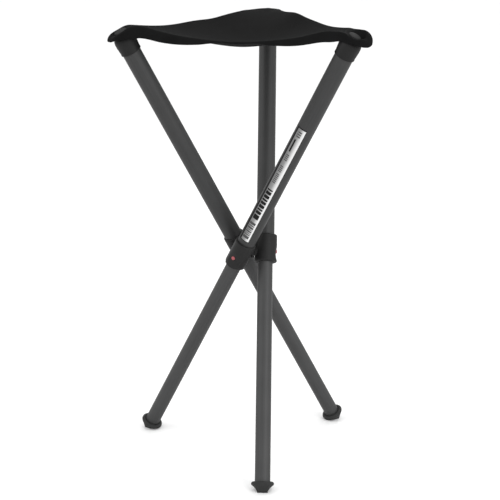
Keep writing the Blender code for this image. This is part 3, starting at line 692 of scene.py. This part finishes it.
def add_label():
    """The sticker on leg a: silver film on a dark backing, with plain generic bars in place of print."""
    edge, right_edge, left_overlap = 1.1 * MM, 0.4 * MM, 1.6 * MM
    left, right = LABEL_TURN - LABEL_HALF, LABEL_TURN + LABEL_HALF
    backing = (LABEL_FOOT, LABEL_TOP, left - left_overlap, right)
    sheet = (LABEL_FOOT + edge, LABEL_TOP - edge, left + edge, right - right_edge)
    dark = bars(37.0, (7.0, 4.4, 2.4, 4.6, 4.0, 2.8, 4.6, 4.6, 2.2), 1.6, -3.8, 4.6)
    dark += bars(147.0, (19.0,), 0.0, -2.2, 0.2)
    pale = bars(5.0, (4.0, 1.4, 1.0, 2.0, 1.0, 2.8, 1.4, 3.6), 1.3, -4.2, 5.0)
    for start, count in ((97.0, 6), (115.0, 4), (133.0, 4)):
        pale += bars(start, [1.4] * count, 1.2, -2.8, 2.2)
    pale += bars(170.0, [1.8] * 3, 1.4, -2.4, 3.4)
    backing_radius = UPPER_RADIUS + GAP
    film_radius = backing_radius + BACKING_THICK
    ink_radius = film_radius + FILM_THICK
    layers = [
        ("label_backing", [backing], backing_radius, BACKING_THICK, INK_LOOK, "height_label"),
        ("label_film", [sheet], film_radius, FILM_THICK, FILM_LOOK, None),
        ("label_bars", dark, ink_radius, INK_THICK, INK_LOOK, None),
        ("label_ticks", pale, ink_radius, INK_THICK, GREY_INK_LOOK, None),
    ]
    for name, patches, radius, thick, look, node in layers:
        mesh = wrapped(name, patches, radius, thick)
        add(name, mesh, look, "leg_a", STANDS["a"].matrix, node)


# Seat, with its corners a at the front right, b at the rear and c at the front left

CLOTH_THICK = 1.9 * MM
HALF_CORNER = math.pi / 3  # of a panel, between its arm and its seam
EDGE_MIDDLE = 89.0 * MM  # from the stool's axis to the middle of an edge

# How the cloth hangs between the ridges over the caps
RIDGE_INSET = 9.2 * MM
RIDGE_ROUND = 5.0 * MM
BELLY_SAG = 15.7 * MM
FRONT_SAG = 16.7 * MM
FRONT_BEND = 0.18  # how round the front edge hangs: small for two straight lines
EDGE_SAG = {"ba": 4.0 * MM, "bc": 6.8 * MM}  # the two far edges, deepest nearer the second corner
SAG_SKEW = 0.88
EDGE_WAVES = {"ba": (0.334, 3.2 * MM), "bc": (0.408, -2.1 * MM)}  # slack in them: place and height
WAVE_LENGTH = 0.1
WAVE_FADE = 8  # how fast the slack fades inwards
HOOD_CORNER = "b"
HOOD_ARCH = 53.0 * MM  # radius of the arch over the rear corner
HOOD_FROM = -44.0 * MM  # where the arch begins, from the disc's middle
HOOD_RUN = 34.0 * MM

# How the cloth swells round a disc
DISC_CLEAR = 0.6 * MM
PUFF_RUN = {"a": 10.2 * MM, "b": 7.0 * MM, "c": 7.0 * MM}
PUFF_FROM = -45.0 * MM  # where the swelling begins on the arm, from the disc's middle
PUFF_LENGTH = 35.0 * MM
PUFF_SOFT = 2.0 * MM
NOSE_LEVEL = {"a": 6.2 * MM, "b": -40.0 * MM, "c": -1.8 * MM}  # least height, from the disc's middle
SIDE_PUFF = {"a": 2.2 * MM, "b": 1.3 * MM, "c": 4.7 * MM}  # more swelling on one side of a disc
SIDE_TURN = {"a": 66.0, "b": 180.0, "c": 125.0}  # which side, in degrees from straight out
SIDE_FROM = {"a": 7.3 * MM, "b": -2.4 * MM, "c": 2.9 * MM}  # where it begins, from the disc's middle
SIDE_RUN = 14.0 * MM

# The front fold, which stands up near a corner: its height and the corner's side that it is on
CREST = {"a": (4.5 * MM, -1), "c": (3.5 * MM, 1)}
CREST_INSET = 22.0 * MM  # its highest place, inwards from the ridge
CREST_LENGTH = 24.0 * MM

# The pockets, with their width on the first and second side of the arm
POCKET_REACH = {"a": 17.6 * MM, "b": 24.2 * MM, "c": 17.9 * MM}
POCKET_WIDTH = {"a": (15.3 * MM, 21.6 * MM), "b": (23.2 * MM, 25.4 * MM), "c": (22.3 * MM, 24.9 * MM)}
POCKET_ROUND = {"a": 4.5 * MM, "b": 9.0 * MM, "c": 7.7 * MM}
POCKET_TUCK = {"a": 92.0, "b": 110.0, "c": 66.0}  # how far the cloth turns down over the nose, in degrees
POCKET_LEAN = 0.4  # how far the turned-down edge leans with the leg
FAR_SWELL = {"a": 8.0 * MM, "b": 0.0, "c": 1.5 * MM}  # how much rounder a pocket is on its second side

# The turned-down edge
BAND = {"a": 13.9 * MM, "b": 17.5 * MM, "c": 15.1 * MM}  # its depth at a corner
BAND_GROWTH = 1.2
ROUND_GROWTH = 1.2
HEM_DROP = 0.4 * MM  # its depth at an edge's middle
HEM_TURN = math.radians(25.0)  # how far it turns down at an edge's middle
HEM_SHARE = 0.35  # share of the arm over which this grows to upright
SIDE_CUT = {"a": 0.29, "b": 0.0, "c": 0.0}  # share cut away over the collar on the first side
CUT_FROM = -16.0 * MM  # where the cut begins, from the ridge
CUT_RUN = 20.0 * MM
SLOPE_STEP = 0.05 * MM

# Fineness of the cloth
INNER_ROWS = 16
ARM_ROWS = 44
NOSE_ROWS = 18
COLUMNS = 48
EDGE_STEPS = 8
SEAM_WELD = 0.01 * MM


class Corner:
    """A corner of the seat, in plan: where its leg's axis meets the cloth, and the arm that leads there.

    The first side of the arm (hand -1) is on the right of the way out, and the second (hand 1) on the left.
    """

    def __init__(self, leg):
        self.name = leg.name
        self.leg = leg
        top = leg.pivot + CLOTH_TOP * leg.upward
        flat = Vector((top.x - AXIS.x, top.y - AXIS.y))
        self.height = top.z
        self.axis_reach = flat.length
        self.along = np.array(flat / flat.length)
        self.across = np.array((-self.along[1], self.along[0]))
        self.lean = np.array(leg.lean.xy)
        self.foot = self.along * self.axis_reach
        self.ridge = self.axis_reach - RIDGE_INSET
        self.middle = EDGE_MIDDLE * math.cos(HALF_CORNER)
        self.round = POCKET_ROUND[leg.name]
        self.nose = POCKET_REACH[leg.name] - self.round
        self.tip = self.axis_reach + self.nose

    def plane(self, flat):
        """Height of the plane that is square to the leg at the cloth."""
        return self.height - ((flat - self.foot) @ self.lean) * math.tan(TILT)

    def half_width(self, reach, hand):
        """Width of the cloth's upper face on one side of the arm, at a reach."""
        pocket = POCKET_WIDTH[self.name][hand > 0] - self.round
        if reach <= self.middle:
            return reach * math.tan(HALF_CORNER)
        if reach >= self.axis_reach:
            past = min((reach - self.axis_reach) / self.nose, 1.0)
            return pocket * math.sqrt(max(1.0 - past * past, 0.0))
        run = self.axis_reach - self.middle
        share = (reach - self.middle) / run
        kept = (1 + 2 * share) * (1 - share) ** 2
        narrowing = share * (1 - share) ** 2 * run / math.tan(HALF_CORNER)
        return kept * (self.middle * math.tan(HALF_CORNER)) - narrowing + (1 - kept) * pocket

    def arm_share(self, reach):
        return clamped((reach - self.middle) / (self.ridge - self.middle))

    def rows(self):
        """Reaches of the mesh's rows: up to the edges' middles, along the arm and over the nose."""
        run = self.axis_reach - self.middle
        inner = [self.middle * i / INNER_ROWS for i in range(INNER_ROWS + 1)]
        arm = [self.middle + run * i / ARM_ROWS for i in range(1, ARM_ROWS + 1)]
        turns = [math.pi / 2 * i / NOSE_ROWS for i in range(1, NOSE_ROWS + 1)]
        return inner + arm + [self.axis_reach + self.nose * math.sin(turn) for turn in turns]


CORNERS = {name: Corner(STANDS[name]) for name in LEGS}


def sag(flat):
    """Height of the sagging cloth between the ridges over the caps."""
    peak = np.mean([corner.plane(corner.ridge * corner.along) for corner in CORNERS.values()])
    share = {n: 1 / 3 + 2 / 3 * (flat @ c.along) / c.ridge for n, c in CORNERS.items()}
    # The 27 and the 4 make the products of shares 1 at the middle of the seat and of an edge
    drop = 27 * BELLY_SAG * share["a"] * share["b"] * share["c"]
    both, apart = share["c"] + share["a"], share["c"] - share["a"]
    straight = math.hypot(1.0, FRONT_BEND)
    hung = both * straight - np.hypot(apart, FRONT_BEND * both)
    drop = drop + FRONT_SAG * both * hung / (straight - FRONT_BEND)
    for (first, second), depth in EDGE_SAG.items():
        skewed = 1 + SAG_SKEW * (share[second] - share[first])
        drop = drop + depth * skewed * (4 * share[first] * share[second]) ** 2
        place, rise = EDGE_WAVES[first + second]
        wave = np.exp(-(((share[second] - place) / WAVE_LENGTH) ** 2))
        near_edge = np.clip(share[first] + share[second], 0.0, 1.0) ** WAVE_FADE
        drop = drop - rise * (wave * near_edge)
    return peak - drop


def puff(corner, flat):
    """How far the cloth swells round the clamped disc."""
    away = flat - corner.foot
    ahead, side = away @ corner.along, away @ corner.across
    clear = step_up(np.hypot(ahead, side) - PLUG_RADIUS - DISC_CLEAR, run=PUFF_RUN[corner.name])
    inward = step_up(ahead, PUFF_FROM, PUFF_LENGTH)
    lacking = corner.height + NOSE_LEVEL[corner.name] - corner.plane(flat)
    rise = (lacking + np.hypot(lacking, PUFF_SOFT)) / 2
    turn = math.radians(SIDE_TURN[corner.name])
    towards = math.cos(turn) * ahead + math.sin(turn) * side
    rise = rise + SIDE_PUFF[corner.name] * step_up(towards, SIDE_FROM[corner.name], SIDE_RUN)
    return rise * clear * inward


def crest(corner, flat):
    """How far the fold along the front edge stands up on its way to a corner."""
    if corner.name not in CREST:
        return 0.0
    height, hand = CREST[corner.name]
    reach, side = flat @ corner.along, flat @ corner.across
    width = corner.half_width(float(np.mean(reach)), hand)
    along = np.exp(-(((reach - corner.ridge + CREST_INSET) / CREST_LENGTH) ** 2))
    return height * along * step_up(hand * side / max(width, MM))


def cloth_height(corner, flat):
    """Height of the cloth's upper face: the lower of the sag and the plane over the cap, then swollen."""
    low, plane = sag(flat), corner.plane(flat)
    near = np.maximum(RIDGE_ROUND - np.abs(low - plane), 0.0) / RIDGE_ROUND
    height = np.minimum(low, plane) - near * near * RIDGE_ROUND / 4
    height = height + puff(corner, flat) + crest(corner, flat)
    if corner.name == HOOD_CORNER:
        away = flat - corner.foot
        arch = (away @ corner.across) ** 2 / (2 * HOOD_ARCH)
        height = height - arch * step_up(away @ corner.along, HOOD_FROM, HOOD_RUN)
    return height


def edge_outward(corner, reach, hand):
    """The level way straight out of the cloth's edge at one end of a row."""
    if reach >= corner.tip - TINY:
        outward = corner.along
    else:
        slope = (corner.half_width(reach + SLOPE_STEP, hand) - corner.half_width(reach, hand)) / SLOPE_STEP
        outward = corner.across * hand - slope * corner.along
    return Vector((*outward, 0.0)).normalized()


def edge_turn(corner, reach, hand):
    """How the cloth turns down at one end of a row: the turn's radius and angle, and the drop below."""
    arm = corner.arm_share(reach)
    nose = float(step_up(reach, corner.ridge, corner.tip - corner.ridge))
    past = clamped((reach - corner.axis_reach) / corner.nose)
    band = HEM_DROP + (BAND[corner.name] - HEM_DROP) * math.sin(math.pi / 2 * arm) ** BAND_GROWTH
    radius = corner.round * (1.0 - math.exp(-ROUND_GROWTH * band / corner.round))
    radius += (corner.round - radius) * nose
    radius += FAR_SWELL[corner.name] * nose * (0.5 + 0.5 * hand * (1.0 - past * past))
    angle = HEM_TURN + (math.pi / 2 - HEM_TURN) * float(step_up(arm, run=HEM_SHARE))
    angle += (math.radians(POCKET_TUCK[corner.name]) - angle) * nose
    drop = max(band - radius, 0.0) * (1.0 - nose)
    if hand < 0:
        drop *= 1.0 - SIDE_CUT[corner.name] * float(step_up(reach - corner.ridge, CUT_FROM, CUT_RUN))
    return radius, angle, drop


def edge_line(corner, reach, hand):
    """Points where the cloth turns down at one end of a row, from its upper face to its hem."""
    flat = corner.along * reach + corner.across * hand * corner.half_width(reach, hand)
    start = Vector((*flat, float(cloth_height(corner, flat))))
    radius, angle, drop = edge_turn(corner, reach, hand)
    lean = POCKET_LEAN * corner.arm_share(reach)
    up = Vector((0.0, 0.0, 1.0)).lerp(corner.leg.upward, lean).normalized()
    outward = edge_outward(corner, reach, hand)
    out = (outward - outward.dot(up) * up).normalized()
    points = []
    for i in range(1, EDGE_STEPS + 1):
        turn = angle * i / EDGE_STEPS
        points.append(start + radius * (math.sin(turn) * out + (math.cos(turn) - 1.0) * up))
    points[-1] += drop * (math.cos(angle) * out - math.sin(angle) * up)
    return points


def seat_row(corner, reach):
    """Points across a panel, from hem to hem in the rows that end at the seat's edges."""
    sides = np.linspace(-corner.half_width(reach, -1), corner.half_width(reach, 1), COLUMNS + 1)
    flat = reach * corner.along + np.outer(sides, corner.across)
    line = [Vector((x, y, z)) for (x, y), z in zip(flat, cloth_height(corner, flat))]
    if reach >= corner.middle - TINY:
        line = edge_line(corner, reach, -1)[::-1] + line + edge_line(corner, reach, 1)
    return line


def row_places(line, reach):
    """UVs of a row in metres: the way along it from its middle, and its reach."""
    gone = [0.0]
    for a, b in zip(line, line[1:]):
        gone.append(gone[-1] + (b - a).length)
    return [(way - gone[-1] / 2, reach) for way in gone]


def seat_surface():
    """The cloth's upper face as one welded bmesh, its faces marked with their corner, and UVs in metres."""
    bm = bmesh.new()
    part = bm.faces.layers.int.new("corner")
    uv = bm.loops.layers.uv.new("UVMap")
    for index, corner in enumerate(CORNERS.values()):
        lines = [seat_row(corner, reach) for reach in corner.rows()]
        places = [row_places(line, reach) for line, reach in zip(lines, corner.rows())]
        rows = [[bm.verts.new(point + AXIS) for point in line] for line in lines]
        for i in range(len(rows) - 1):
            skip = (len(rows[i + 1]) - len(rows[i])) // 2
            for j in range(len(rows[i]) - 1):
                quad = ((i, j), (i + 1, j + skip), (i + 1, j + 1 + skip), (i, j + 1))
                face = bm.faces.new([rows[row][column] for row, column in quad])
                face[part] = index
                for loop, (row, column) in zip(face.loops, quad):
                    loop[uv].uv = places[row][column]
    bmesh.ops.remove_doubles(bm, verts=bm.verts, dist=SEAM_WELD)
    bmesh.ops.recalc_face_normals(bm, faces=bm.faces)
    if sum(f.normal.z * f.calc_area() for f in bm.faces) < 0:
        bmesh.ops.reverse_faces(bm, faces=bm.faces)
    bm.normal_update()
    return bm, part, uv


def seat_panel(faces, part, uv, name):
    """One corner's faces of the cloth as a closed shell, shaded as one with its neighbours."""
    index = faces[0][part]
    verts = {}
    for face in faces:
        for vert in face.verts:
            verts.setdefault(vert, len(verts))
    count = len(verts)
    normals = [v.normal.copy() for v in verts]
    points = [v.co for v in verts] + [v.co - CLOTH_THICK * n for v, n in zip(verts, normals)]
    shell, shades, places = [], [], []
    # Upper and under faces by turns
    for face in faces:
        ids = [verts[v] for v in face.verts]
        spots = [loop[uv].uv.copy() for loop in face.loops]
        shell.append(ids)
        shades += [normals[i] for i in ids]
        places += spots
        shell.append([i + count for i in reversed(ids)])
        shades += [-normals[i] for i in reversed(ids)]
        places += spots[::-1]
    # The rim round them
    for face in faces:
        for loop in face.loops:
            if sum(1 for f in loop.edge.link_faces if f[part] == index) == 1:
                a, b = verts[loop.vert], verts[loop.link_loop_next.vert]
                shell.append([b, a, a + count, b + count])
                flat = (points[a] - points[b]).cross(points[a + count] - points[a]).normalized()
                shades += [flat] * 4
                places += [loop[uv].uv.copy()] * 4
    mesh = bpy.data.meshes.new(name)
    mesh.from_pydata([tuple(p) for p in points], [], shell)
    mesh.materials.append(CLOTH_LOOK)
    mesh.materials.append(BACK_LOOK)
    for under in list(mesh.polygons)[1 : 2 * len(faces) : 2]:
        under.material_index = 1
    layer = mesh.uv_layers.new(name="UVMap")
    for data, place in zip(layer.data, places):
        data.uv = place
    mesh.shade_smooth()
    mesh.normals_split_custom_set([tuple(n) for n in shades])
    return mesh


def add_seat():
    bm, part, uv = seat_surface()
    for index, corner in enumerate(CORNERS.values()):
        faces = [f for f in bm.faces if f[part] == index]
        mesh = seat_panel(faces, part, uv, f"seat_cloth_{corner.name}")
        obj = bpy.data.objects.new(mesh.name, mesh)
        bpy.context.scene.collection.objects.link(obj)
        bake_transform(obj)
        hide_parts("seat_fabric")
        area = sum(f.calc_area() for f in faces)
    bm.free()


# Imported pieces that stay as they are


def dress_packed():
    looks = {"hub_core": BLACK_LOOK}
    for name in LEGS:
        looks[f"pivot_pin_{name}"] = STEEL_LOOK
        looks[f"glide_plug_{name}"] = GLIDE_LOOK
        looks[f"snap_spring_{name}"] = STEEL_LOOK
    for node, look in looks.items():
        for slot in frame["nodes"][node].material_slots:
            slot.link = "OBJECT"
            slot.material = look


# Floor, light and camera


def lamp(name, place, target, size, power):
    light = bpy.data.lights.new(name, "AREA")
    light.shape = "SQUARE"
    light.size = size
    light.energy = power
    obj = bpy.data.objects.new(name, light)
    bpy.context.scene.collection.objects.link(obj)
    obj.location = place
    obj.rotation_euler = (Vector(target) - Vector(place)).to_track_quat("-Z", "Y").to_euler()


def add_stage():
    """A pale floor in even light, with three soft lamps."""
    half = 6.0
    points = [(-half, -half, 0.0), (half, -half, 0.0), (half, half, 0.0), (-half, half, 0.0)]
    mesh = mesh_from("floor", points, [(0, 1, 2, 3)])
    mesh.materials.append(painted("pale_floor"))
    floor = bpy.data.objects.new("floor", mesh)
    bpy.context.scene.collection.objects.link(floor)
    world = bpy.data.worlds.new("studio")
    world.use_nodes = True
    background = world.node_tree.nodes["Background"]
    background.inputs["Color"].default_value = (1.0, 1.0, 1.0, 1.0)
    background.inputs["Strength"].default_value = 1.1
    bpy.context.scene.world = world
    bpy.context.scene.view_settings.view_transform = "Standard"
    lamp("key", (1.6, -1.6, 1.3), (0.0, 0.0, 0.45), 1.4, 22.0)
    lamp("rim", (-1.6, -0.4, 1.3), (0.0, 0.0, 0.4), 1.2, 8.0)
    lamp("back", (0.8, 2.0, 1.5), (-0.05, 0.0, 0.57), 0.8, 8.0)


def add_camera():
    """The photo's camera, fitted to the legs: its place round the stool and its turns."""
    distance, height, round_stool = 1.87326, 0.82208, math.radians(2.0415)
    heading, pitch, roll = 0.00124 - round_stool, 0.27899, -0.00267
    focal_pixels, image_pixels, sensor_mm = 1428.12, 500.0, 36.0
    level = math.cos(pitch)
    forward = Vector((math.sin(heading) * level, math.cos(heading) * level, -math.sin(pitch)))
    side = Vector((math.cos(heading), -math.sin(heading), 0.0))
    over = side.cross(forward)
    right = math.cos(roll) * side + math.sin(roll) * over
    up = math.cos(roll) * over - math.sin(roll) * side
    data = bpy.data.cameras.new("camera")
    data.sensor_width = sensor_mm
    data.lens = sensor_mm * focal_pixels / image_pixels
    camera = bpy.data.objects.new("camera", data)
    bpy.context.scene.collection.objects.link(camera)
    camera.matrix_world = Matrix((right, up, -forward)).transposed().to_4x4()
    stand = Vector((distance * math.sin(round_stool), -distance * math.cos(round_stool), height))
    camera.location = AXIS + stand
    bpy.context.scene.camera = camera


add_legs()
add_label()
add_seat()
dress_packed()
add_stage()
add_camera()
